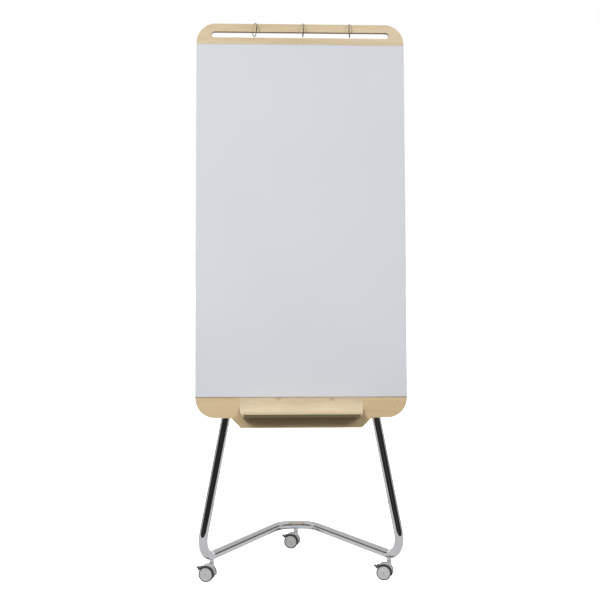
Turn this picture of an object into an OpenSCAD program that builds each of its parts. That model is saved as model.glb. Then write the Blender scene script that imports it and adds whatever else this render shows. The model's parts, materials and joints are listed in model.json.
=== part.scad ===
// Mobile flipchart easel: a plywood board with a white writing panel, a moulded pen tray and
// three snap rings, carried by one bent chromed tube on three braked twin-wheel casters.
// +X is to the right of a person facing the board, -Y is the front, +Z is up, the floor is z = 0.
// Millimetres.

/* [Board] */
// Width of the plywood board
board_w = 700; // [640:5:760]
// Height of the board along its own face, without the tongue below it
board_h = 1326.5; // [1200:0.5:1500]
// Thickness of the plywood
board_t = 15; // [15:1:20]
// Radius of the four outer corners
corner_r = 65; // [30:1:80]
// Lean of the board back from the vertical, in degrees
lean = 7; // [4:0.5:10]
// Height of the board's lower front edge above the floor
board_z = 554; // [500:1:640]
// Width of the tongue where it leaves the board's lower edge
tongue_w = 466; // [440:1:500]
// Drop of the tongue below the board's lower edge
tongue_drop = 33; // [20:1:40]
// Radius where the tongue runs into the board's lower edge
tongue_fillet = 8; // [4:1:12]

/* [Hanging bar and slot] */
// Height of the wooden bar above the slot
bar_h = 27.3; // [26:0.1:34]
// Height of the slot
slot_h = 20.2; // [16:0.1:22]
// Length of the slot over its round ends
slot_l = 600; // [500:5:620]

/* [Writing panel] */
// Distance from the board's lower edge to the panel's lower edge
panel_low = 69; // [66:1:80]
// Distance from the board's lower edge to the panel's upper edge
panel_high = 1256; // [1000:1:1260]
// Thickness of the panel
panel_t = 3; // [3:0.5:6]
// Radius of the panel's long front edges
panel_edge_r = 2.5; // [1:0.5:3]

/* [Pen tray] */
// Width of the tray's flange, at the board
tray_w = 410; // [380:1:420]
// Width of the tray at its front lip
tray_front_w = 374; // [340:1:380]
// Thickness of the tray's moulded plywood
tray_t = 9; // [7:0.5:9]
// Radius of the hollow curve from the flange to the shelf
tray_bend_r = 38; // [30:1:40]
// Height of the shelf's upper face above the board's lower edge
tray_shelf = 11; // [10:1:20]
// Length of the flat stretch of the shelf
tray_flat = 12; // [8:1:30]
// Radius of the curve up into the lip
lip_r = 25; // [20:1:30]
// Rise of the lip, in degrees
lip_rise = 30; // [15:1:40]
// Length of the straight stretch of the lip
lip_l = 12; // [6:1:16]
// Growth of the plywood on each side where it is bent
ply_swell = 0.1; // [0.05:0.05:0.2]

/* [Frame tube] */
// Outer diameter of the tube
tube_d = 30; // [28:1:32]
// Wall of the tube
tube_wall = 1.5; // [1:0.1:2]
// Centreline radius of every bend
bend_r = 75; // [60:1:80]
// Growth of the tube's radius in its bends
bend_swell = 0.1; // [0.05:0.05:0.2]
// Half distance between the leg centres at the board's lower edge
leg_x = 250; // [200:1:270]
// Half distance between the points where the leg and arm centrelines meet
corner_x = 338; // [300:1:350]
// Height of the base tube's centreline
base_z = 86; // [80:1:100]
// Height of the leg tops along the board, above its lower edge
leg_top = 880; // [700:1:1000]
// Distance from the front of the board's lower edge back to the rear tube's centreline
rear_y = 465; // [420:1:520]
// Half distance between the points where the arm and rear centrelines meet
rear_x = 57; // [50:1:80]

/* [Leg clamps] */
// Heights of the clamps along the board, above its lower edge
clamp_v = [95, 470, 835];
// Width of a clamp strap along the leg
clamp_w = 25; // [20:1:30]
// Thickness of a clamp strap
clamp_t = 2.5; // [2:0.5:3]
// Distance from the leg's centreline to each clamp screw
clamp_screw_off = 27; // [26:1:30]
// Thickness of the pad between the leg and the board
pad_t = 1.5; // [1:0.5:3]

/* [Casters] */
// Radius of the wheels
wheel_r = 25; // [25:1:25]
// Width of one wheel
wheel_w = 13; // [12:1:14]
// Gap between the two wheels
wheel_gap = 10; // [10:1:12]
// Distance that the wheels trail behind the stem
trail = 16; // [14:1:18]
// Half distance between the two front stems
stem_x = 298; // [290:1:300]
// Direction in which the wheels trail, in degrees from +X towards +Y
trail_dir = 165; // [150:1:180]

/* [Snap rings] */
// Diameter of the ring's wire centreline
ring_d = 45; // [44:0.5:46]
// Diameter of the ring's wire
wire_d = 3; // [2.5:0.5:3]
// Places of the rings along the bar
ring_x = [-154.5, 9, 167];
// Turn of each ring about the upright, in degrees
ring_yaw = [17, 1, -8];

/* [Hidden] */
$fn = 64;
CASTERS = ["left", "right", "rear"];
RINGS = ["left", "middle", "right"];
PIECES = ["stem", "bush", "housing", "hood", "brake_pin", "brake_lever", "axle", "inner_wheel",
          "outer_wheel", "tyres"];

eps = 0.01;
through = 1;
bend_tuck = 0.5;
// Room for the glue between the board and what is fixed on its front.
glue_gap = 0.1;

plywood = [0.83, 0.75, 0.63];
plywood_tray = [0.85, 0.78, 0.65];
panel_white = [0.84, 0.85, 0.87];
chromed = [0.75, 0.75, 0.77];
zinc = [0.62, 0.63, 0.65];
light_grey = [0.70, 0.70, 0.70];
dark_grey = [0.29, 0.29, 0.30];
tyre_grey = [0.22, 0.22, 0.23];
nickel = [0.68, 0.67, 0.65];
nylon = [0.90, 0.90, 0.88];

// The leg centrelines lie in one plane parallel to the board's back.
leg_w = board_t + pad_t + tube_d / 2;
corner_v = (base_z - board_z + leg_w * sin(lean)) / cos(lean);
corner_y = corner_v * sin(lean) + leg_w * cos(lean);
leg_slope = (corner_x - leg_x) / -corner_v;
splay = atan(leg_slope);

// Where the stem axis crosses an arm of the base.
stem_share = (corner_x - stem_x) / (corner_x - rear_x);
stem_y = corner_y + stem_share * (rear_y - corner_y);
stem_places = [[-stem_x, stem_y], [stem_x, stem_y], [0, rear_y]];

// The origin is under the middle of the whole easel: the pen tray's lip is furthest forward
// and the rear caster's far tyre is furthest back.
tyre_side = wheel_gap / 2 + wheel_w;
lip_reach = tray_bend_r + tray_flat + (lip_r + tray_t) * sin(lip_rise) + lip_l * cos(lip_rise);
lip_low_v = tray_shelf + lip_r - (lip_r + tray_t) * cos(lip_rise) + lip_l * sin(lip_rise);
front_y = lip_low_v * sin(lean) - lip_reach * cos(lean);
back_y = rear_y + (trail + wheel_r) * sin(trail_dir) + tyre_side * -cos(trail_dir);
mid_y = (front_y + back_y) / 2;

// Tray flange and screws.
flange_high = panel_low - 0.5;
tray_screw_x = [-170, -60, 60, 170];
tray_screw_v = 60;
tray_screw_r = 2;
clamp_screw_r = 2.5;
clamp_screw_depth = 10;

// Caster sizes, from the floor up.
hood_clear = 0.8;
hood_t = 2.5;
hood_r = wheel_r + hood_clear;
tyre_t = 3.2;
axle_r = 3;
running = 0.05;
housing_half = 9;
hood_half = 18.5;
hood_from = 35;
hood_to = 195;
lid_from = 50;
neck_r = 8;
neck_top = 63;
bore_low = 51;
stem_r = 4;
bush_r = 5.2;
collar_r = 7;
collar_top = 67;
thread_r = 5;
socket_r = 8;
spigot_r = 6.5;
spigot_top = 84;
thread_top = 82;
lever_pin_r = 1.25;
lever_pin_reach = 29.5;
lever_pin_half = 14;
lever_half = 8.6;
lever_barrel_r = 2.7;
cam_turn = 240;
cam_reach = 4.4;
cam_r = 1.6;

// Snap rings hang with their wire just clear of the bar's two upper edges.
ring_drop = 18.9;
lug_r = 2.4;
lug_gap = 0.1;
lug_t = 1.5;
pin_r = 0.8;
lug_clear = 2.9;
lap_h = 1.8;
lap_turn = 4.2;
lap_gap = 0.15;

function unit(v) = v / norm(v);
function flip(p, side) = [side * p[0], p[1], p[2]];
function on_floor(x, w, v) = [x, v * sin(lean) + w * cos(lean), board_z + v * cos(lean) - w * sin(lean)];

// Puts the whole easel's middle over the origin.
module centred() {
    translate([0, -mid_y, 0]) children();
}

// Board space: x across, y into the board from its front face, z up the board from its lower edge.
module on_board() {
    centred() translate([0, 0, board_z]) rotate([-lean, 0, 0]) children();
}

// Extrudes a drawing of the board's face from depth w0 to depth w1.
module face_slab(w0, w1) {
    translate([0, w1, 0]) rotate([90, 0, 0]) linear_extrude(w1 - w0) children();
}

// Extrudes a side profile, drawn as depth and height in board space, to both sides of the middle.
module side_slab(width) {
    translate([-width / 2, 0, 0]) rotate([90, 0, 90]) linear_extrude(width) children();
}

// Puts the children's z axis on the line from p to q.
module along(p, q) {
    z = unit(q - p);
    x = unit(abs(z[0]) < 0.9 ? cross(z, [1, 0, 0]) : cross(z, [0, 1, 0]));
    y = cross(z, x);
    multmatrix([[x[0], y[0], z[0], p[0]],
                [x[1], y[1], z[1], p[1]],
                [x[2], y[2], z[2], p[2]],
                [0, 0, 0, 1]]) children();
}

// ---- Board -------------------------------------------------------------------------------

module rounded_rect(w, h, r) {
    translate([-w / 2 + r, 0]) square([w - 2 * r, h]);
    translate([-w / 2, r]) square([w, h - 2 * r]);
    for (x = [-1, 1], y = [r, h - r]) translate([x * (w / 2 - r), y]) circle(r);
}

// The tongue below the lower edge, with a hollow fillet on each side.
module tongue() {
    half = tongue_w / 2;
    root = tongue_fillet * tan(22.5);
    step = root * sin(45);
    difference() {
        polygon([[half + root, corner_r / 2],
                 [-half - root, corner_r / 2],
                 [-half - root, 0],
                 [-half + step, -step],
                 [-half + tongue_drop, -tongue_drop],
                 [half - tongue_drop, -tongue_drop],
                 [half - step, -step],
                 [half + root, 0]]);
        for (side = [-1, 1]) translate([side * (half + root), -tongue_fillet]) circle(tongue_fillet);
    }
}

module board_outline() {
    rounded_rect(board_w, board_h, corner_r);
    tongue();
}

module ring_slot() {
    half = (slot_l - slot_h) / 2;
    middle = board_h - bar_h - slot_h / 2;
    translate([-half, middle - slot_h / 2]) square([2 * half, slot_h]);
    for (side = [-1, 1]) translate([side * half, middle]) circle(slot_h / 2);
}

// The recess that the tray's flange and the first part of its curve lie in.
module tray_recess() {
    intersection() {
        translate([0, -corner_r]) square([tray_t + glue_gap, flange_high + glue_gap + corner_r]);
        union() {
            translate([0, tray_shelf + tray_bend_r]) square([tray_t + glue_gap, flange_high]);
            translate([-tray_bend_r, tray_shelf + tray_bend_r])
                circle(tray_bend_r + tray_t + ply_swell + glue_gap);
        }
    }
}

module board() {
    color(plywood) on_board() difference() {
        face_slab(0, board_t) difference() {
            board_outline();
            ring_slot();
        }
        side_slab(tray_w + 2 * glue_gap) tray_recess();
        for (x = tray_screw_x) translate([x, tray_t - 1, tray_screw_v])
            rotate([-90, 0, 0]) cylinder(h = board_t, r = tray_screw_r);
        clamp_screw_places() translate([0, 0, -clamp_screw_depth])
            cylinder(h = clamp_screw_depth + through, r = clamp_screw_r);
    }
}

// The panel seen from below: flat at the back, with its two long front edges rounded.
module panel_outline() {
    front = -panel_t + panel_edge_r;
    difference() {
        union() {
            translate([-board_w / 2, front]) square([board_w, panel_t]);
            translate([-board_w / 2 + panel_edge_r, -panel_t])
                square([board_w - 2 * panel_edge_r, panel_t]);
            for (side = [-1, 1]) translate([side * (board_w / 2 - panel_edge_r), front])
                circle(panel_edge_r);
        }
        translate([-board_w, 0]) square([2 * board_w, board_t]);
    }
}

module writing_panel() {
    color(panel_white) on_board() translate([0, -glue_gap, panel_low])
        linear_extrude(panel_high - panel_low) panel_outline();
}

// ---- Pen tray ----------------------------------------------------------------------------

// A curved stretch of the tray's ply: centre, inner radius and the angles it spans.
module ply_arc(centre, r, from, to) {
    steps = 24;
    translate(centre) intersection() {
        difference() {
            circle(r + tray_t + ply_swell);
            circle(r - ply_swell);
        }
        polygon(concat([[0, 0]], [for (i = [0:steps])
            2 * (r + tray_t) * [cos(from + (to - from) * i / steps), sin(from + (to - from) * i / steps)]]));
    }
}

// Side profile of the tray: flange, hollow curve, shelf, curve up and lip. x is depth.
module tray_profile() {
    curve_top = tray_shelf + tray_bend_r;
    shelf_end = -tray_bend_r - tray_flat;
    translate([0, curve_top - bend_tuck]) square([tray_t, flange_high - curve_top + bend_tuck]);
    ply_arc([-tray_bend_r, curve_top], tray_bend_r, -90, 0);
    translate([shelf_end - bend_tuck, tray_shelf - tray_t])
        square([tray_flat + 2 * bend_tuck, tray_t]);
    ply_arc([shelf_end, tray_shelf + lip_r], lip_r, -90 - lip_rise, -90);
    translate([shelf_end, tray_shelf + lip_r]) rotate(-lip_rise)
        translate([-lip_l, -lip_r - tray_t]) square([lip_l + bend_tuck, tray_t]);
}

// Plan of the tray: parallel behind the board's face, narrowing towards the lip.
module tray_plan() {
    past = 10;
    narrowing = (tray_w - tray_front_w) / 2 / lip_reach;
    front_half = tray_front_w / 2 - past * narrowing;
    polygon([[-tray_w / 2, board_t],
             [-tray_w / 2, 0],
             [-front_half, -lip_reach - past],
             [front_half, -lip_reach - past],
             [tray_w / 2, 0],
             [tray_w / 2, board_t]]);
}

module pen_tray() {
    screw_hold = tray_t - 2;
    color(plywood_tray) on_board() difference() {
        intersection() {
            side_slab(tray_w + 10) tray_profile();
            translate([0, 0, -20]) linear_extrude(flange_high + 40) tray_plan();
        }
        for (x = tray_screw_x) translate([x, tray_t - screw_hold, tray_screw_v])
            rotate([-90, 0, 0]) cylinder(h = screw_hold + eps, r = tray_screw_r);
    }
}

// A pan-head screw whose head sits on z = 0 and whose shank goes down.
module pan_screw(shank_r, shank_l, head_r, head_h) {
    difference() {
        rotate_extrude() polygon([[0, -shank_l],
                                  [shank_r * 0.4, -shank_l],
                                  [shank_r, -shank_l + shank_r],
                                  [shank_r, 0],
                                  [head_r, 0],
                                  [head_r, head_h * 0.4],
                                  [head_r * 0.7, head_h],
                                  [0, head_h]]);
        for (a = [0, 90]) rotate(a) translate([-head_r * 0.55, -head_r * 0.1, head_h * 0.45])
            cube([head_r * 1.1, head_r * 0.2, head_h]);
    }
}

module tray_screws() {
    color(zinc) on_board() for (x = tray_screw_x) translate([x, board_t, tray_screw_v])
        rotate([-90, 0, 0]) pan_screw(tray_screw_r, board_t - 3, 3.8, 2.4);
}

// ---- Frame tube --------------------------------------------------------------------------

// A straight stretch of the frame's line as a rod of radius r, running a little into the bends.
module rod_run(p, q, r) {
    d = unit(q - p) * bend_tuck;
    along(p - d, q + d) cylinder(h = norm(q - p) + 2 * bend_tuck, r = r);
}

// A bend, for a centreline that comes along direction a to the point c and leaves along b.
module rod_bend(c, a, b, r) {
    turn = acos(a * b);
    n = unit(b - (a * b) * a);
    z = cross(-n, a);
    m = c - a * bend_cut(a, b) + n * bend_r;
    multmatrix([[-n[0], a[0], z[0], m[0]],
                [-n[1], a[1], z[1], m[1]],
                [-n[2], a[2], z[2], m[2]],
                [0, 0, 0, 1]])
        rotate_extrude(angle = turn, $fn = 96) translate([bend_r, 0]) circle(r + bend_swell);
}

function bend_cut(a, b) = bend_r * tan(acos(a * b) / 2);

// The right-hand half of the centreline, from the leg's top to the middle of the rear stretch.
leg_top_p = on_floor(leg_x - leg_top * leg_slope, leg_w, leg_top);
corner_p = [corner_x, corner_y, base_z];
rear_corner_p = [rear_x, rear_y, base_z];
leg_dir = unit(corner_p - leg_top_p);
arm_dir = unit(rear_corner_p - corner_p);
rear_dir = [-1, 0, 0];
corner_cut = bend_cut(leg_dir, arm_dir);
rear_cut = bend_cut(arm_dir, rear_dir);

// The corner bend and the arm behind it, as a rod.
module corner_stretch(side, r) {
    rod_bend(flip(corner_p, side), flip(leg_dir, side), flip(arm_dir, side), r);
    rod_run(flip(corner_p + arm_dir * corner_cut, side),
            flip(rear_corner_p - arm_dir * rear_cut, side), r);
}

// The rear stretch between the arms, as a rod.
module rear_stretch(r) {
    half = rear_x - rear_cut;
    rod_run([-half, rear_y, base_z], [half, rear_y, base_z], r);
}

// The whole bent line as a rod of radius r, running past each leg's top by extra.
module frame_line(r, extra) {
    for (side = [-1, 1]) {
        rod_run(flip(leg_top_p - leg_dir * extra, side), flip(corner_p - leg_dir * corner_cut, side), r);
        corner_stretch(side, r);
        rod_bend(flip(rear_corner_p, side), flip(arm_dir, side), flip(rear_dir, side), r);
    }
    rear_stretch(r);
}

module frame_tube() {
    color(chromed) centred() difference() {
        frame_line(tube_d / 2, -bend_tuck);
        frame_line(tube_d / 2 - tube_wall, through);
        for (p = stem_places) translate([p[0], p[1], collar_top])
            cylinder(h = base_z - collar_top, r = spigot_r);
    }
}

module leg_caps() {
    plug_r = tube_d / 2 - tube_wall;
    plug_l = 14;
    lid_h = 4;
    color(dark_grey) centred() for (side = [-1, 1])
        along(flip(leg_top_p, side), flip(leg_top_p - leg_dir, side)) rotate_extrude()
            polygon([[0, -plug_l],
                     [plug_r - 1, -plug_l],
                     [plug_r, -plug_l + 2],
                     [plug_r, 0],
                     [tube_d / 2, 0],
                     [tube_d / 2, lid_h - 1.5],
                     [tube_d / 2 - 1.5, lid_h],
                     [0, lid_h]]);
}

// ---- Leg clamps --------------------------------------------------------------------------

// Clamp space: x across the leg, y along it, z out from the board's back face.
module clamp_places() {
    for (side = [-1, 1], v = clamp_v)
        translate([side * (leg_x - v * leg_slope), board_t, v])
            rotate([0, -side * splay, 0]) rotate([-90, 0, 0]) children();
}

module clamp_screw_places() {
    clamp_places() for (side = [-1, 1]) translate([side * clamp_screw_off, 0, 0]) children();
}

module strap_profile() {
    axis_h = pad_t + tube_d / 2;
    inner = tube_d / 2;
    outer = inner + clamp_t;
    foot = clamp_screw_off + 10;
    difference() {
        union() {
            translate([0, axis_h]) circle(outer);
            translate([-outer, 0]) square([2 * outer, axis_h]);
            translate([-foot, 0]) square([2 * foot, clamp_t]);
        }
        translate([0, axis_h]) circle(inner);
        translate([-inner, -through]) square([2 * inner, axis_h + through]);
    }
}

module leg_clamps() {
    color(chromed) on_board() clamp_places() difference() {
        rotate([90, 0, 0]) translate([0, 0, -clamp_w / 2]) linear_extrude(clamp_w) strap_profile();
        for (side = [-1, 1]) translate([side * clamp_screw_off, 0, -through])
            cylinder(h = clamp_t + 2 * through, r = clamp_screw_r + 0.25);
    }
}

module clamp_pads() {
    color(dark_grey) on_board() clamp_places()
        translate([-10, -clamp_w / 2 - 3, 0]) cube([20, clamp_w + 6, pad_t]);
}

module clamp_screws() {
    color(zinc) on_board() clamp_screw_places() translate([0, 0, clamp_t])
        pan_screw(clamp_screw_r, clamp_screw_depth + clamp_t - 0.5, 4.75, 3);
}

// ---- Casters -----------------------------------------------------------------------------

// Caster space: the stem's axis is z, the wheels trail towards +x, the floor is z = 0.
module at_caster(i) {
    centred() translate([stem_places[i][0], stem_places[i][1], 0]) rotate([0, 0, trail_dir]) children();
}

// Puts a rotate_extrude's axis on the wheel axle, with its z towards +y.
module on_axle() {
    translate([trail, 0, wheel_r]) rotate([-90, 0, 0]) children();
}

// Threaded sockets welded into the underside of the tube: a collar coped to the tube's curve
// and a spigot through its wall.
module caster_sockets() {
    outer = tube_d / 2;
    color(chromed) centred() for (i = [0:2]) difference() {
        union() {
            difference() {
                translate([stem_places[i][0], stem_places[i][1], collar_top])
                    cylinder(h = base_z - collar_top - 8, r = socket_r);
                if (i < 2) corner_stretch(i == 0 ? -1 : 1, outer);
                else rear_stretch(outer);
            }
            translate([stem_places[i][0], stem_places[i][1], collar_top])
                cylinder(h = spigot_top - collar_top, r = spigot_r);
        }
        translate([stem_places[i][0], stem_places[i][1], collar_top - through])
            cylinder(h = spigot_top - collar_top + 2 * through, r = thread_r);
    }
}

module caster_stem() {
    color(zinc) rotate_extrude() polygon([[0, bore_low + 0.4],
                                          [stem_r - 0.6, bore_low + 0.4],
                                          [stem_r, bore_low + 1],
                                          [stem_r, neck_top + 0.3],
                                          [collar_r - 0.6, neck_top + 0.3],
                                          [collar_r, neck_top + 0.9],
                                          [collar_r, collar_top],
                                          [thread_r, collar_top],
                                          [thread_r, thread_top - 1],
                                          [thread_r - 1, thread_top],
                                          [0, thread_top]]);
}

module caster_bush() {
    color(nylon) rotate_extrude() translate([stem_r + running, bore_low])
        square([bush_r - stem_r - running, neck_top - bore_low]);
}

// A slice of a ring around the axle, from one angle to another, seen from the side.
module hood_arc(r0, r1, from, to) {
    steps = 16;
    intersection() {
        difference() {
            circle(r1);
            circle(r0);
        }
        polygon(concat([[0, 0]], [for (i = [0:steps])
            2 * r1 * [cos(from + (to - from) * i / steps), sin(from + (to - from) * i / steps)]]));
    }
}

// Extrudes a side view, drawn with its origin on the axle, from y0 to y1.
module axle_slab(y0, y1) {
    translate([trail, y1, wheel_r]) rotate([90, 0, 0]) linear_extrude(y1 - y0) children();
}

// Light housing: a plate between the wheels, a lid over them and the neck around the stem.
module caster_housing() {
    plate_half = wheel_gap / 2 - 0.5;
    color(light_grey) difference() {
        union() {
            axle_slab(-plate_half, plate_half) hood_arc(0, hood_r + hood_t, lid_from, hood_to);
            axle_slab(-plate_half, plate_half) circle(9);
            axle_slab(-housing_half, housing_half) hood_arc(hood_r, hood_r + hood_t, lid_from, hood_to);
            difference() {
                translate([0, 0, 40]) cylinder(h = neck_top - 40, r = neck_r);
                axle_slab(-housing_half, housing_half) circle(hood_r);
            }
        }
        translate([0, 0, bore_low]) cylinder(h = neck_top, r = bush_r);
        axle_slab(-housing_half, housing_half) circle(axle_r + running);
    }
}

// Dark hood: a band over each wheel, fixed to the lid's two sides, with the brake pin's two ears.
module caster_hood() {
    band_r = hood_r + hood_t + 0.5;
    ear = lever_pin_reach * [cos(hood_from), sin(hood_from)];
    color(dark_grey) difference() {
        union() {
            for (y = [-hood_half, housing_half]) axle_slab(y, y + hood_half - housing_half) {
                hood_arc(hood_r, band_r, hood_from, hood_to);
                difference() {
                    translate(ear) circle(3.4);
                    circle(hood_r);
                }
            }
        }
        axle_slab(-hood_half - through, hood_half + through) translate(ear) circle(lever_pin_r);
    }
}

module caster_brake_pin() {
    color(zinc) axle_slab(-lever_pin_half, lever_pin_half)
        translate(lever_pin_reach * [cos(hood_from), sin(hood_from)]) circle(lever_pin_r);
}

// Brake lever: a barrel on the pin, a foot tab behind it and a cam that turns onto the tyres.
module caster_brake_lever() {
    color(dark_grey) axle_slab(-lever_half, lever_half)
        translate(lever_pin_reach * [cos(hood_from), sin(hood_from)]) difference() {
            union() {
                circle(lever_barrel_r);
                rotate(12) translate([0, -1.2]) square([10, 3]);
                rotate(12) translate([10, 0.3]) circle(1.5, $fn = 32);
                rotate(cam_turn) translate([0, -cam_r]) square([cam_reach - cam_r, 2 * cam_r]);
                rotate(cam_turn) translate([cam_reach - cam_r, 0]) circle(cam_r);
            }
            circle(lever_pin_r + running);
        }
}

module caster_axle() {
    color(zinc) on_axle() translate([0, 0, -tyre_side + 1]) cylinder(h = 2 * tyre_side - 2, r = axle_r);
}

// One wheel, built with its outer face at z = tyre_side.
module wheel_disc() {
    rim_r = wheel_r - tyre_t;
    inner_face = wheel_gap / 2;
    difference() {
        rotate_extrude() polygon([[axle_r - 0.01, inner_face],
                                  [7, inner_face],
                                  [7, inner_face + 5],
                                  [rim_r - 2.5, inner_face + 5],
                                  [rim_r - 2.5, inner_face],
                                  [rim_r, inner_face],
                                  [rim_r, tyre_side - 0.8],
                                  [rim_r - 0.8, tyre_side],
                                  [rim_r - 2.6, tyre_side],
                                  [rim_r - 3.4, tyre_side - 0.9],
                                  [8.6, tyre_side - 0.6],
                                  [7.8, tyre_side - 0.1],
                                  [axle_r - 0.01, tyre_side - 0.1]]);
    }
}

module caster_wheel(side) {
    color(light_grey) on_axle() rotate([side > 0 ? 0 : 180, 0, 0]) wheel_disc();
}

module caster_tyres() {
    edge = 1;
    low_r = wheel_r - tyre_t;
    color(tyre_grey) on_axle() for (a = [0, 180]) rotate([a, 0, 0]) translate([0, 0, wheel_gap / 2])
        rotate_extrude() polygon([[low_r, 0],
                                  [wheel_r - edge, 0],
                                  [wheel_r, edge],
                                  [wheel_r, wheel_w - edge],
                                  [wheel_r - edge, wheel_w],
                                  [low_r, wheel_w]]);
}

module caster_piece(i, piece) {
    at_caster(i) {
        if (piece == "stem") caster_stem();
        if (piece == "bush") caster_bush();
        if (piece == "housing") caster_housing();
        if (piece == "hood") caster_hood();
        if (piece == "brake_pin") caster_brake_pin();
        if (piece == "brake_lever") caster_brake_lever();
        if (piece == "axle") caster_axle();
        if (piece == "inner_wheel") caster_wheel(-1);
        if (piece == "outer_wheel") caster_wheel(1);
        if (piece == "tyres") caster_tyres();
    }
}

// ---- Snap rings --------------------------------------------------------------------------

// Ring space: x is the ring's axis, y points away from the viewer, z is up the board.
module at_ring(i) {
    on_board() translate([ring_x[i], board_t / 2, board_h - ring_drop])
        rotate([0, 0, ring_yaw[i]]) children();
}

// A stretch of the ring's wire. Angles run from the front (0) over the top (90) to the back.
module wire_arc(from, to) {
    multmatrix([[0, 0, -1, 0], [-1, 0, 0, 0], [0, 1, 0, 0], [0, 0, 0, 1]])
        rotate([0, 0, from]) rotate_extrude(angle = to - from, $fn = 96)
            translate([ring_d / 2, 0]) circle(d = wire_d, $fn = 32);
}

// One half of a ring: its wire, the flat lug on the hinge and the lapped end at the back.
// The lower half keeps the side x > 0 of each joint and the upper half keeps x < 0.
module ring_half(side, hinge_bore) {
    low = side > 0 ? 180 - lap_turn : 0;
    high = side > 0 ? 360 : 180 + lap_turn;
    difference() {
        union() {
            difference() {
                wire_arc(low, high);
                translate([side > 0 ? -wire_d : -lug_gap, -ring_d / 2, 0]) rotate([0, 90, 0])
                    cylinder(h = wire_d + lug_gap, r = lug_clear);
                translate([side > 0 ? -wire_d : -lap_gap, ring_d / 2 - wire_d,
                           side > 0 ? -lap_h : -3 * lap_h])
                    cube([wire_d + lap_gap, 2 * wire_d, 4 * lap_h]);
            }
            translate([side > 0 ? lug_gap : -lug_gap - lug_t, -ring_d / 2, 0])
                rotate([0, 90, 0]) cylinder(h = lug_t, r = lug_r);
        }
        translate([-wire_d, -ring_d / 2, 0]) rotate([0, 90, 0])
            cylinder(h = 2 * wire_d, r = hinge_bore);
    }
}

module ring_pin() {
    head_at = lug_gap + lug_t + 0.05;
    color(nickel) translate([0, -ring_d / 2, 0]) rotate([0, 90, 0]) {
        translate([0, 0, -head_at]) cylinder(h = 2 * head_at, r = pin_r);
        for (a = [0, 180]) rotate([a, 0, 0]) translate([0, 0, head_at]) cylinder(h = 0.6, r = 1.5);
    }
}

module ring_piece(i, piece) {
    at_ring(i) {
        if (piece == "lower_half") color(nickel) ring_half(1, pin_r);
        if (piece == "upper_half") color(nickel) ring_half(-1, pin_r + running);
        if (piece == "pin") ring_pin();
    }
}

board();
writing_panel();
pen_tray();
tray_screws();
frame_tube();
leg_caps();
leg_clamps();
clamp_pads();
clamp_screws();
caster_sockets();
for (i = [0:2], piece = PIECES)
    caster_piece(i, piece);
for (i = [0:2], piece = ["lower_half", "upper_half", "pin"])
    ring_piece(i, piece);
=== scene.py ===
"""Looks of the mobile flipchart easel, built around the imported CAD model.

Metres, in the frame's own axes: +X is to the right of a person facing the board, -Y is the front
and +Z is up.
"""
import json
import math

import bmesh
import bpy
from mathutils import Matrix, Vector

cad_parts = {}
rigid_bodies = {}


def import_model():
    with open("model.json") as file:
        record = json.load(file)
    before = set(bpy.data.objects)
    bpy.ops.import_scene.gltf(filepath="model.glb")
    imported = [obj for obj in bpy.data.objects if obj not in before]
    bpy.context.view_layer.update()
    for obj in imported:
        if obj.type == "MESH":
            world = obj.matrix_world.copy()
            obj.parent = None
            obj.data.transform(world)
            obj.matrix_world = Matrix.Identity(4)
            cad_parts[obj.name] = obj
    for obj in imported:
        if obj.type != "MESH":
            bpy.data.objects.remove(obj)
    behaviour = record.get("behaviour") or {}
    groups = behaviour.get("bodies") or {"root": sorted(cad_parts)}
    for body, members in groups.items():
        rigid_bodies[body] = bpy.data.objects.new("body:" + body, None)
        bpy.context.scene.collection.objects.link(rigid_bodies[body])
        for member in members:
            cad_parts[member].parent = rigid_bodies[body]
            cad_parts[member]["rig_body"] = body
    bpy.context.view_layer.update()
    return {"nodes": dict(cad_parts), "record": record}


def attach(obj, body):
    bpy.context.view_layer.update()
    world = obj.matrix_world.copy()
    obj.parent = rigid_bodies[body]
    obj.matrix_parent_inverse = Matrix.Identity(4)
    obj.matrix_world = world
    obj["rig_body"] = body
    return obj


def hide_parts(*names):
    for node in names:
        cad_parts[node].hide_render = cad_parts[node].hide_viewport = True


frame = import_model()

# ---- The board's own axes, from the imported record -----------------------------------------

MOUNTS = {m["name"]: m for m in frame["record"]["mounts"]}
SURFACE = MOUNTS["writing_surface"]
INTO = -Vector(SURFACE["axis"]).normalized()
UP = Vector((0, -INTO.z, INTO.y))
# From the panel's face to the board's: the panel's thickness and the glue under it
PANEL_PROUD = 0.0031
# From the middle of the panel down to the board's lower edge
PANEL_MID = 0.6625
# A point of the board's lower front edge, in the middle plane
LOWER = Vector(SURFACE["pos_m"]) + INTO * PANEL_PROUD - UP * PANEL_MID

# ---- Node tools ---------------------------------------------------------------------------


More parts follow.
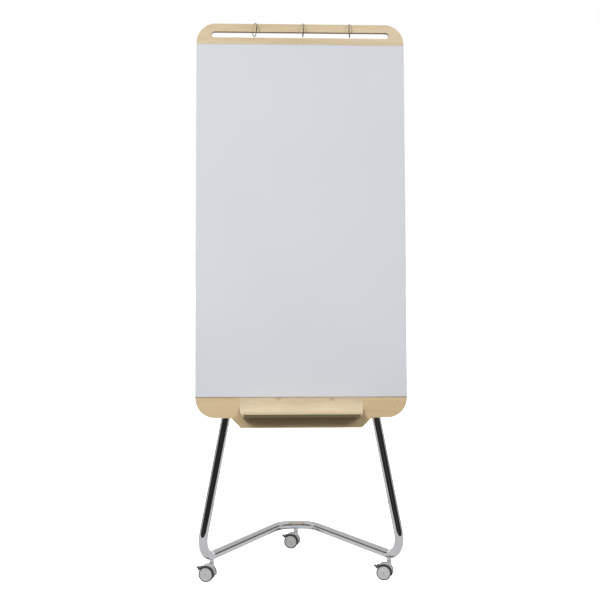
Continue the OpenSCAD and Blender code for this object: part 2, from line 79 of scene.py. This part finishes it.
class Shader:
    """Builds one material's node tree with short calls. A value is a number or a socket."""

    def __init__(self, name):
        self.mat = bpy.data.materials.new(name)
        self.mat.use_nodes = True
        self.tree = self.mat.node_tree
        self.tree.nodes.clear()
        self.out = self.tree.nodes.new("ShaderNodeOutputMaterial")
        self.bsdf = self.tree.nodes.new("ShaderNodeBsdfPrincipled")
        self.link(self.bsdf.outputs[0], self.out.inputs[0])

    def link(self, a, b):
        self.tree.links.new(a, b)

    def feed(self, socket, value):
        """Link a socket, or set a plain value; a colour of three gets full alpha."""
        if isinstance(value, bpy.types.NodeSocket):
            self.link(value, socket)
        elif socket.type == "RGBA" and len(value) == 3:
            socket.default_value = (*value, 1)
        else:
            socket.default_value = value

    def node(self, kind, inputs=None, **props):
        n = self.tree.nodes.new(kind)
        for key, value in props.items():
            setattr(n, key, value)
        for key, value in (inputs or {}).items():
            self.feed(n.inputs[key], value)
        return n

    def math(self, op, a, b=0.0):
        return self.node("ShaderNodeMath", {0: a, 1: b}, operation=op).outputs[0]

    def add(self, a, b):
        return self.math("ADD", a, b)

    def sub(self, a, b):
        return self.math("SUBTRACT", a, b)

    def mul(self, a, b):
        return self.math("MULTIPLY", a, b)

    def size(self, a):
        return self.math("ABSOLUTE", a)

    def length(self, a, b):
        return self.math("SQRT", self.add(self.mul(a, a), self.mul(b, b)))

    def choose(self, share, yes, no):
        """A number between `no`, at a share of 0, and `yes`, at a share of 1."""
        return self.add(self.mul(share, yes), self.mul(self.sub(1.0, share), no))

    def dot(self, vec, axis):
        return self.node("ShaderNodeVectorMath", {0: vec, 1: tuple(axis)},
                         operation="DOT_PRODUCT").outputs["Value"]

    def coords(self):
        return self.node("ShaderNodeTexCoord").outputs["Object"]

    def normal(self):
        return self.node("ShaderNodeNewGeometry").outputs["True Normal"]

    def join(self, x, y, z):
        return self.node("ShaderNodeCombineXYZ", {0: x, 1: y, 2: z}).outputs[0]

    def noise(self, vec, scale, detail=4.0, rough=0.5, distortion=0.0):
        return self.node("ShaderNodeTexNoise",
                         {"Vector": vec, "Scale": scale, "Detail": detail, "Roughness": rough,
                          "Distortion": distortion}, noise_dimensions="3D").outputs[0]

    def span(self, value, a, b, lo=0.0, hi=1.0, smooth=False):
        """Carry a value from the range a..b to lo..hi, held at the ends."""
        return self.node("ShaderNodeMapRange", {0: value, 1: a, 2: b, 3: lo, 4: hi},
                         interpolation_type="SMOOTHSTEP" if smooth else "LINEAR").outputs[0]

    def mix(self, share, a, b, blend="MIX"):
        return self.node("ShaderNodeMix", {0: share, 6: a, 7: b}, data_type="RGBA",
                         blend_type=blend).outputs[2]

    def tint(self, colour, by):
        return self.mix(1.0, colour, by, "MULTIPLY")

    def bump(self, height, distance, strength):
        n = self.node("ShaderNodeBump", {"Height": height, "Distance": distance,
                                         "Strength": strength})
        self.link(n.outputs[0], self.bsdf.inputs["Normal"])

    def set(self, **values):
        """Feed the surface's own inputs: Base_Color is the input "Base Color"."""
        for key, value in values.items():
            self.feed(self.bsdf.inputs[key.replace("_", " ")], value)


def scaled(colour, by, plus=0.0):
    """A plain colour times a number, plus a number, held to 1."""
    return tuple(min(1.0, c * by + plus) for c in colour)


# ---- Wood ---------------------------------------------------------------------------------

BIRCH_PALE = (0.715, 0.585, 0.405)
BIRCH_DEEP = (0.600, 0.460, 0.285)
BIRCH_FLECK = (0.47, 0.33, 0.19)
KNOT_HALO = (0.42, 0.29, 0.155)
KNOT_CORE = (0.20, 0.125, 0.065)
EDGE_LIGHT = (0.640, 0.500, 0.320)
EDGE_GRAIN = (0.50, 0.36, 0.21)
EDGE_CROSS = (0.44, 0.30, 0.17)
EDGE_GLUE = (0.330, 0.215, 0.115)

BOARD_LAYER = 0.00136
TRAY_LAYER = 0.0015

# Each knot is x across, v up the board, and its radius
BOARD_KNOTS = [(0.318, 0.055, 0.0012)]
TRAY_KNOTS = [(-0.076, 0.062, 0.0030), (0.101, 0.062, 0.0034)]


def board_place(s):
    """Where a point lies: x across, w into the board from its front, v up from its lower edge."""
    p = s.coords()
    return (s.dot(p, (1, 0, 0)), s.sub(s.dot(p, INTO), INTO.dot(LOWER)),
            s.sub(s.dot(p, UP), UP.dot(LOWER)))


def veneer(s, across, along, depth, seed):
    """Colour, fine grain and fibres of a face veneer whose grain runs along `along`."""
    layer = s.add(s.mul(depth, 0.6), seed)

    def figure(along_scale, across_scale, detail, rough, distortion=0.0):
        at = s.join(s.mul(along, along_scale), s.mul(across, across_scale), layer)
        return s.noise(at, 1.0, detail, rough, distortion)

    wide = figure(1.6, 13.0, 3.0, 0.55, 0.6)
    fine = figure(9.0, 420.0, 5.0, 0.62)
    fibre = figure(60.0, 1500.0, 2.0, 0.5)
    fleck = figure(55.0, 300.0, 1.0, 0.4)
    rings = s.math("PINGPONG", s.mul(s.math("FRACT", s.mul(wide, 9.0)), 2.0), 1.0)
    tone = s.add(s.mul(wide, 0.55), s.mul(fine, 0.33))
    tone = s.add(tone, s.mul(rings, 0.07))
    tone = s.add(tone, s.mul(fibre, 0.10))
    colour = s.mix(s.span(tone, 0.38, 0.66), BIRCH_PALE, BIRCH_DEEP)
    colour = s.mix(s.span(fleck, 0.66, 0.74, 0.0, 0.35), colour, BIRCH_FLECK)
    return colour, fine, fibre


def veneer_bump(s, fine, fibre):
    s.bump(s.add(s.mul(fine, 0.7), s.mul(fibre, 0.3)), 0.00012, 0.5)


def knots(s, colour, x, v, places):
    """Pin knots with soft halos, longer along the grain than across it."""
    for knot_x, knot_v, radius in places:
        wobble = s.noise(s.join(s.mul(x, 160.0), s.mul(v, 260.0), knot_x), 1.0, 2.0)
        away = s.length(s.mul(s.sub(x, knot_x), 0.55), s.sub(v, knot_v))
        away = s.add(away, s.mul(s.sub(wobble, 0.5), radius * 1.1))
        halo = s.span(away, radius * 0.5, radius * 3.2, 0.42, 0.0, True)
        core = s.span(away, radius * 0.25, radius * 0.7, 0.75, 0.0, True)
        colour = s.mix(core, s.mix(halo, colour, KNOT_HALO), KNOT_CORE)
    return colour


def ply_edge(s, depth, layer, run, across):
    """Colour of a cut edge: layers of the given thickness, with glue lines between them."""
    jitter = s.noise(s.join(s.mul(run, 30.0), s.mul(across, 30.0), 0.0), 1.0, 2.0)
    layers = s.add(s.math("DIVIDE", depth, layer), s.mul(s.sub(jitter, 0.5), 0.25))
    within = s.math("FRACT", layers)
    crossed = s.span(s.math("PINGPONG", layers, 1.0), 0.35, 0.65, 0.0, 0.55, True)
    grain = s.noise(s.join(s.mul(run, 500.0), s.mul(across, 500.0), s.mul(depth, 900.0)), 1.0, 3.0)
    colour = s.mix(s.span(grain, 0.3, 0.7), EDGE_LIGHT, EDGE_GRAIN)
    colour = s.mix(crossed, colour, EDGE_CROSS)
    glue = s.math("MAXIMUM", s.span(within, 0.0, 0.10, 0.8, 0.0),
                  s.span(within, 0.90, 1.0, 0.0, 0.8))
    return s.mix(glue, colour, EDGE_GLUE)


def birch_board():
    """Flat ply: veneer on the two faces, layers round the edge, warmer near the tray."""
    s = Shader("birch_ply_board")
    x, w, v = board_place(s)
    face, fine, fibre = veneer(s, v, x, w, 3.7)
    face = knots(s, face, x, v, BOARD_KNOTS)
    facing = s.size(s.dot(s.normal(), INTO))
    on_edge = s.span(facing, 0.80, 0.93, 1.0, 0.0)
    colour = s.mix(on_edge, face, ply_edge(s, w, BOARD_LAYER, x, v))
    tone = s.mix(s.span(v, 0.10, 1.20), (1.03, 0.98, 0.89), (0.97, 0.99, 1.0))
    s.set(Base_Color=s.tint(colour, tone), Roughness=s.span(fine, 0.3, 0.7, 0.40, 0.52),
          Coat_Weight=0.12, Coat_Roughness=0.28, Specular_IOR_Level=0.42)
    veneer_bump(s, fine, fibre)
    return s.mat


# The tray's bent profile, as in the CAD: height of the shelf's inner face, radius of the hollow,
# length of the flat, radius of the front, slope of the lip and length of the lip's face
TRAY_SHELF = 0.011
TRAY_HOLLOW_R = 0.038
TRAY_FLAT = 0.012
TRAY_FRONT_R = 0.025
TRAY_LIP_SLOPE = math.radians(30)
TRAY_LIP = 0.0117
# The outer face, where painted shade goes below the hollow, starts this deep in the sheet, and the
# lip's tip lies below this height
TRAY_OUTER = (0.0080, 0.0088)
TRAY_TIP_BELOW = 0.06


def tray_sheet(s, w, v):
    """Depth through the tray's bent sheet from its inner face, and the way back from the lip.

    The sheet comes down the flange, round the hollow, along the shelf, round the front and up.
    """
    hollow_w, hollow_v = -TRAY_HOLLOW_R, TRAY_SHELF + TRAY_HOLLOW_R
    front_w, front_v = hollow_w - TRAY_FLAT, TRAY_SHELF + TRAY_FRONT_R
    hollow = s.sub(s.length(s.sub(w, hollow_w), s.sub(v, hollow_v)), TRAY_HOLLOW_R)
    a, b = s.sub(w, front_w), s.sub(v, front_v)
    front = s.sub(s.length(a, b), TRAY_FRONT_R)
    cos, sin = math.cos(TRAY_LIP_SLOPE), math.sin(TRAY_LIP_SLOPE)
    back = s.sub(s.mul(a, cos), s.mul(b, sin))
    above = s.add(s.mul(a, sin), s.mul(b, cos))
    lip = s.sub(s.mul(above, -1.0), TRAY_FRONT_R)
    depth = s.choose(s.math("LESS_THAN", back, 0.0), lip, front)
    depth = s.choose(s.math("GREATER_THAN", w, front_w), s.sub(TRAY_SHELF, v), depth)
    depth = s.choose(s.math("GREATER_THAN", w, hollow_w), hollow, depth)
    depth = s.choose(s.math("GREATER_THAN", v, hollow_v), w, depth)
    return depth, back


def birch_tray():
    """Moulded ply: veneer on the sheet's two faces, layers at its ends and on the lip's tip, and
    painted shade on the outer face under the shelf.
    """
    s = Shader("birch_ply_tray")
    x, w, v = board_place(s)
    depth, back = tray_sheet(s, w, v)
    face, fine, fibre = veneer(s, s.add(v, s.mul(w, -1.0)), x, depth, 9.1)
    face = knots(s, face, x, v, TRAY_KNOTS)
    end = s.math("GREATER_THAN", s.size(s.dot(s.normal(), (1, 0, 0))), 0.8)
    tip = s.mul(s.math("GREATER_THAN", s.mul(back, -1.0), TRAY_LIP),
                s.math("LESS_THAN", v, TRAY_TIP_BELOW))
    cut = s.math("MAXIMUM", end, s.mul(tip, 0.45))
    colour = s.mix(cut, face, ply_edge(s, depth, TRAY_LAYER, x, w))
    colour = s.tint(colour, (1.02, 1.09, 1.17))
    # Painted shade: the outer face below the hollow, under the shelf and lip, is tinted darker and
    # more olive
    painted_underside_shade = s.mul(s.span(depth, *TRAY_OUTER),
                  s.math("LESS_THAN", v, TRAY_SHELF + TRAY_HOLLOW_R))
    colour = s.mix(painted_underside_shade, colour, s.tint(colour, (0.86, 0.82, 0.62)))
    s.set(Base_Color=colour, Roughness=s.span(fine, 0.3, 0.7, 0.42, 0.54), Coat_Weight=0.05,
          Coat_Roughness=0.25, Specular_IOR_Level=0.32)
    veneer_bump(s, fine, fibre)
    return s.mat


# ---- Metal, plastic, rubber, panel --------------------------------------------------------


def metal(name, colour, rough, spread, grain_scale, bump=0.0):
    """Plated or bare metal: slow clouds in its tone, and fine grain in its polish."""
    s = Shader(name)
    p = s.coords()
    grain = s.noise(p, grain_scale, 3.0, 0.6)
    cloud = s.noise(p, 14.0, 4.0, 0.55)
    polish = s.add(s.mul(grain, 0.5), s.mul(cloud, 0.5))
    s.set(Base_Color=s.mix(s.span(cloud, 0.35, 0.65), colour, scaled(colour, 0.93)), Metallic=1.0,
          Roughness=s.span(polish, 0.35, 0.65, rough - spread, rough + spread))
    if bump:
        s.bump(grain, bump, 0.4)
    return s.mat


def plastic(name, colour, rough):
    """Moulded plastic: fine grain, slow clouds and a little dust."""
    s = Shader(name)
    p = s.coords()
    grain = s.noise(p, 2200.0, 2.0, 0.5)
    cloud = s.noise(p, 60.0, 3.0, 0.5)
    dust = s.noise(p, 420.0, 4.0, 0.7)
    tone = s.mix(s.span(cloud, 0.35, 0.65), colour, scaled(colour, 1.12, 0.006))
    tone = s.mix(s.span(dust, 0.60, 0.75, 0.0, 0.18), tone, scaled(colour, 1.3, 0.03))
    s.set(Base_Color=tone, Roughness=s.span(grain, 0.3, 0.7, rough - 0.05, rough + 0.07),
          Specular_IOR_Level=0.45)
    s.bump(grain, 0.00004, 0.5)
    return s.mat


def tyre_rubber():
    """Tyre rubber with paler, worn patches."""
    s = Shader("tyre_tread")
    p = s.coords()
    grain = s.noise(p, 1500.0, 3.0, 0.6)
    worn = s.noise(p, 120.0, 4.0, 0.6)
    colour = s.mix(s.span(worn, 0.4, 0.7), (0.050, 0.050, 0.053), (0.095, 0.094, 0.092))
    s.set(Base_Color=colour, Roughness=s.span(grain, 0.3, 0.7, 0.62, 0.78),
          Specular_IOR_Level=0.35)
    s.bump(grain, 0.00006, 0.6)
    return s.mat


PANEL_COOL = (0.680, 0.706, 0.752)
PANEL_PALE = (0.700, 0.724, 0.768)
PANEL_SPECK = (0.56, 0.58, 0.62)
# Colour of the painted shade line along the panel's upper rim
PANEL_RIM_SHADE = (0.36, 0.36, 0.35)
# Heights up the board between which a painted shade line darkens the panel's upper rim
PANEL_RIM_SHADE_V = (1.2525, 1.2550)


def white_panel():
    """Satin laminate: faint wiping smears, specks, painted shade darker towards the top, and a
    painted shade line at the top rim.
    """
    s = Shader("white_panel")
    p = s.coords()
    v = board_place(s)[2]
    soft = s.noise(p, 3.0, 3.0, 0.5)
    speck = s.noise(p, 900.0, 2.0, 0.5)
    peel = s.noise(p, 260.0, 2.0, 0.45)
    wiped = s.node("ShaderNodeVectorMath", {0: p, 1: (22.0, 22.0, 3.0)}, operation="MULTIPLY")
    smear = s.noise(wiped.outputs[0], 1.0, 4.0, 0.6)
    colour = s.mix(s.span(soft, 0.3, 0.7), PANEL_COOL, PANEL_PALE)
    colour = s.mix(s.span(speck, 0.62, 0.80, 0.0, 0.10), colour, PANEL_SPECK)
    # Painted shade: the panel's colour is made darker towards its top
    shade = s.mix(s.span(v, 0.40, 1.25), (1.01, 1.01, 1.01), (0.92, 0.92, 0.92))
    colour = s.tint(colour, shade)
    # Painted shade: a dark line painted along the panel's upper rim
    colour = s.mix(s.span(v, *PANEL_RIM_SHADE_V, 0.0, 0.55, True), colour, PANEL_RIM_SHADE)
    s.set(Base_Color=colour, Roughness=s.span(smear, 0.3, 0.7, 0.36, 0.43),
          Specular_IOR_Level=0.5, Coat_Weight=0.25, Coat_Roughness=0.22)
    s.bump(peel, 0.00003, 0.35)
    return s.mat


MAT = {
    "board": birch_board(),
    "tray": birch_tray(),
    "panel": white_panel(),
    "chrome": metal("chrome_tube", (0.86, 0.865, 0.885), 0.055, 0.02, 700.0),
    "clamp": metal("chrome_clamp", (0.80, 0.80, 0.81), 0.14, 0.04, 700.0),
    "zinc": metal("zinc_steel", (0.62, 0.625, 0.64), 0.30, 0.07, 1300.0, 0.00003),
    "nickel": metal("nickel_wire", (0.42, 0.41, 0.39), 0.20, 0.05, 1500.0),
    "light_grey": plastic("light_grey_plastic", (0.63, 0.63, 0.63), 0.40),
    "dark_grey": plastic("dark_grey_plastic", (0.062, 0.062, 0.066), 0.38),
    "nylon": plastic("white_nylon", (0.70, 0.70, 0.67), 0.45),
    "tyre": tyre_rubber(),
}

# ---- Pieces -------------------------------------------------------------------------------

FINISH = {"board": "board", "writing_panel": "panel", "pen_tray": "tray", "tray_screws": "zinc",
          "frame_tube": "chrome", "leg_caps": "dark_grey", "leg_clamps": "clamp",
          "clamp_pads": "dark_grey", "clamp_screws": "zinc", "caster_sockets": "chrome"}
CASTER_FINISH = {"stem": "zinc", "bush": "nylon", "housing": "light_grey", "hood": "dark_grey",
                 "brake_pin": "zinc", "brake_lever": "dark_grey", "axle": "zinc",
                 "inner_wheel": "light_grey", "outer_wheel": "light_grey", "tyres": "tyre"}
RING_PIECES = ("lower_half", "upper_half", "pin")
for caster in ("left", "right", "rear"):
    for piece, finish in CASTER_FINISH.items():
        FINISH[f"{caster}_caster_{piece}"] = finish
for ring in ("left", "middle", "right"):
    for piece in RING_PIECES:
        FINISH[f"{ring}_ring_{piece}"] = "nickel"

for node_name, cad in frame["nodes"].items():
    cad.data.materials.clear()
    cad.data.materials.append(MAT[FINISH[node_name]])


def in_scene(name, data):
    """A new object in the scene that holds the given mesh, light or camera."""
    obj = bpy.data.objects.new(name, data)
    bpy.context.scene.collection.objects.link(obj)
    return obj


def softened(node, name, width, segments, angle):
    """A copy of a CAD node with its edges sharper than `angle` rounded; it replaces that node."""
    source = frame["nodes"][node]
    mesh = source.data.copy()
    mesh.name = name
    bm = bmesh.new()
    bm.from_mesh(mesh)
    bmesh.ops.remove_doubles(bm, verts=bm.verts, dist=2e-6)
    bmesh.ops.dissolve_limit(bm, angle_limit=math.radians(0.4), verts=bm.verts, edges=bm.edges)
    for f in bm.faces:
        f.smooth = True
    for e in bm.edges:
        e.smooth = True
    bm.to_mesh(mesh)
    bm.free()
    for layer in list(mesh.attributes):
        if layer.name == "custom_normal":
            mesh.attributes.remove(layer)
    obj = in_scene(name, mesh)
    rounding = obj.modifiers.new("round", "BEVEL")
    rounding.width = width
    rounding.segments = segments
    rounding.limit_method = "ANGLE"
    rounding.angle_limit = math.radians(angle)
    rounding.use_clamp_overlap = True
    rounding.harden_normals = False
    shading = obj.modifiers.new("shade", "WEIGHTED_NORMAL")
    shading.keep_sharp = False
    shading.weight = 60
    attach(obj, source["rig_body"])
    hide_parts(node)


softened("board", "board_rounded", 0.0012, 3, 28.0)
softened("writing_panel", "writing_panel_rounded", 0.0005, 2, 40.0)
softened("pen_tray", "pen_tray_rounded", 0.0014, 3, 35.0)

# ---- Stage --------------------------------------------------------------------------------

FLOOR_HALF = 30
FLOOR_PALE = (0.90, 0.90, 0.90)
# Makes the lit floor as white as the world behind it
FLOOR_GLOW = 0.80


def floor_paint():
    s = Shader("floor_paint")
    grain = s.noise(s.coords(), 40.0, 3.0, 0.5)
    colour = s.mix(s.span(grain, 0.3, 0.7), FLOOR_PALE, scaled(FLOOR_PALE, 0.995))
    s.set(Base_Color=colour, Roughness=0.9, Specular_IOR_Level=0.1,
          Emission_Color=(1.0, 1.0, 1.0), Emission_Strength=FLOOR_GLOW)
    return s.mat


def flat_sheet(name, half_width, front, back, height, mat):
    """A level rectangle of the stage."""
    corners = [(-half_width, front, height), (half_width, front, height),
               (half_width, back, height), (-half_width, back, height)]
    mesh = bpy.data.meshes.new(name)
    mesh.from_pydata(corners, [], [(0, 1, 2, 3)])
    mesh.materials.append(mat)
    obj = in_scene(name, mesh)
    return obj


def emitter(name, level_of):
    """A light-giving paint whose level is worked out from the direction seen from the origin."""
    s = Shader(name)
    s.tree.nodes.remove(s.bsdf)
    way = s.node("ShaderNodeVectorMath", {0: s.coords()}, operation="NORMALIZE").outputs[0]
    x, y, z = s.node("ShaderNodeSeparateXYZ", {0: way}).outputs
    glow = s.node("ShaderNodeEmission", {"Color": (1.0, 1.0, 1.0), "Strength": level_of(s, x, y, z)})
    s.link(glow.outputs[0], s.out.inputs[0])
    return s.mat


# Levels of light that shiny parts mirror: the ceiling from its foot to its top, the low walls in
# front and at the sides, the window in each side wall, and the card high in front
CEILING_FOOT, CEILING_TOP = 0.50, 0.62
WALL_FRONT, WALL_SIDE = 0.024, 0.12
WINDOW_LEVEL = 0.38
CARD_LEVEL = 0.9


def room(s, x, y, z):
    """What shiny parts mirror: a pale ceiling, dark low walls with a window, and paper behind."""
    aside = s.size(x)
    ceiling = s.span(z, 0.36, 1.0, CEILING_FOOT, CEILING_TOP)
    shaded = s.mul(s.span(y, -0.5, -0.3, 1.0, 0.0), s.span(z, 0.56, 0.60, 0.55, 0.0))
    ceiling = s.mul(ceiling, s.sub(1.0, shaded))

    in_front = s.span(y, -0.30, -0.12, 1.0, 0.0, True)
    walls = s.choose(in_front, WALL_FRONT, WALL_SIDE)
    doorway = s.mul(in_front, s.span(aside, 0.05, 0.12, 0.045, 0.0, True))
    window = s.mul(s.span(y, -0.20, -0.10, 0.0, 1.0), s.span(y, 0.28, 0.36, 1.0, 0.0))
    walls = s.add(s.add(walls, doorway), s.mul(window, WINDOW_LEVEL))

    level = s.choose(s.span(z, 0.32, 0.40, 0.0, 1.0, True), ceiling, walls)
    card_height = s.mul(s.span(z, 0.58, 0.62, 0.0, 1.0), s.span(z, 0.80, 0.84, 1.0, 0.0))
    card_front = s.mul(s.span(y, -0.2, -0.3, 0.0, 1.0), card_height)
    card = s.mul(s.span(aside, 0.20, 0.24, 1.0, 0.0), card_front)
    level = s.add(level, s.mul(card, CARD_LEVEL))
    paper = s.span(z, 0.20, 0.40, 0.80, 0.50, True)
    return s.choose(s.span(y, 0.56, 0.66, 0.0, 1.0, True), paper, level)


# Levels of the soft light on everything, from below and from above
FILL_LOW, FILL_HIGH = 0.15, 0.57


def fill(s, x, y, z):
    return s.span(z, -0.15, 0.55, FILL_LOW, FILL_HIGH, True)


# The paper under the easel, as shiny parts mirror it
SWEEP_LEVEL = 0.585


def sweep(s, x, y, z):
    return SWEEP_LEVEL


def dome(name, radius, mat):
    """A ball of light around the whole stage, which the camera does not see."""
    bm = bmesh.new()
    bmesh.ops.create_uvsphere(bm, u_segments=96, v_segments=48, radius=radius)
    mesh = bpy.data.meshes.new(name)
    bm.to_mesh(mesh)
    bm.free()
    mesh.materials.append(mat)
    obj = in_scene(name, mesh)
    obj.visible_camera = False
    obj.visible_shadow = False
    return obj


floor = flat_sheet("floor", FLOOR_HALF, -FLOOR_HALF, FLOOR_HALF, 0, floor_paint())
floor.visible_diffuse = False
floor.visible_glossy = False

dome("mirror_dome", 24.0, emitter("mirror_paint", room)).visible_diffuse = False
dome("fill_dome", 22.0, emitter("fill_paint", fill)).visible_glossy = False

paper_sweep = flat_sheet("paper_sweep", 3.5, -0.9, 6, -0.002, emitter("sweep_paint", sweep))
paper_sweep.visible_camera = False
paper_sweep.visible_shadow = False
paper_sweep.visible_diffuse = False

world = bpy.data.worlds.new("studio")
world.use_nodes = True
bpy.context.scene.world = world
background = world.node_tree.nodes["Background"]
background.inputs["Color"].default_value = (1.0, 1.0, 1.0, 1)
background.inputs["Strength"].default_value = 1.0

LAMP_COLOUR = (1.0, 0.995, 0.985)


def lamp(name, at, aim_height, size, watts):
    """A soft lamp, aimed at a point above the middle of the stage; nothing mirrors it."""
    light = bpy.data.lights.new(name, "AREA")
    light.shape = "RECTANGLE"
    light.size, light.size_y = size
    light.energy = watts
    light.color = LAMP_COLOUR
    obj = in_scene(name, light)
    obj.location = at
    obj.rotation_mode = "QUATERNION"
    obj.rotation_quaternion = (Vector((0, 0, aim_height)) - Vector(at)).to_track_quat("-Z", "Y")
    obj.visible_glossy = False


lamp("key_left", (-2.2, -3.2, 3.0), 1.3, (1.1, 1.1), 100)
lamp("key_right", (2.6, -3.0, 2.6), 1.2, (1.0, 1.0), 51)
lamp("back_fill", (0.6, 4.2, 2.6), 1.1, (2.4, 2.0), 80)

# ---- Camera -------------------------------------------------------------------------------

CAMERA_AT = Vector((-0.164, -3.977, 1.109))
# To the right of straight back, down, and about the view's own axis
CAMERA_YAW = math.radians(2.402)
CAMERA_PITCH = math.radians(2.52)
CAMERA_ROLL = math.radians(0.122)


def aim_camera():
    data = bpy.data.cameras.new("camera")
    data.sensor_width = 36.0
    data.lens = 69.0
    data.clip_start, data.clip_end = 0.1, 100.0
    camera = in_scene("camera", data)
    level = math.cos(CAMERA_PITCH)
    look = Vector((math.sin(CAMERA_YAW) * level, math.cos(CAMERA_YAW) * level,
                   -math.sin(CAMERA_PITCH)))
    flat_right = Vector((math.cos(CAMERA_YAW), -math.sin(CAMERA_YAW), 0))
    flat_up = flat_right.cross(look)
    right = flat_right * math.cos(CAMERA_ROLL) + flat_up * math.sin(CAMERA_ROLL)
    up = flat_up * math.cos(CAMERA_ROLL) - flat_right * math.sin(CAMERA_ROLL)
    turn = Matrix((right, up, -look)).transposed()
    camera.matrix_world = Matrix.Translation(CAMERA_AT) @ turn.to_4x4()
    bpy.context.scene.camera = camera


aim_camera()
bpy.context.scene.view_settings.view_transform = "Standard"
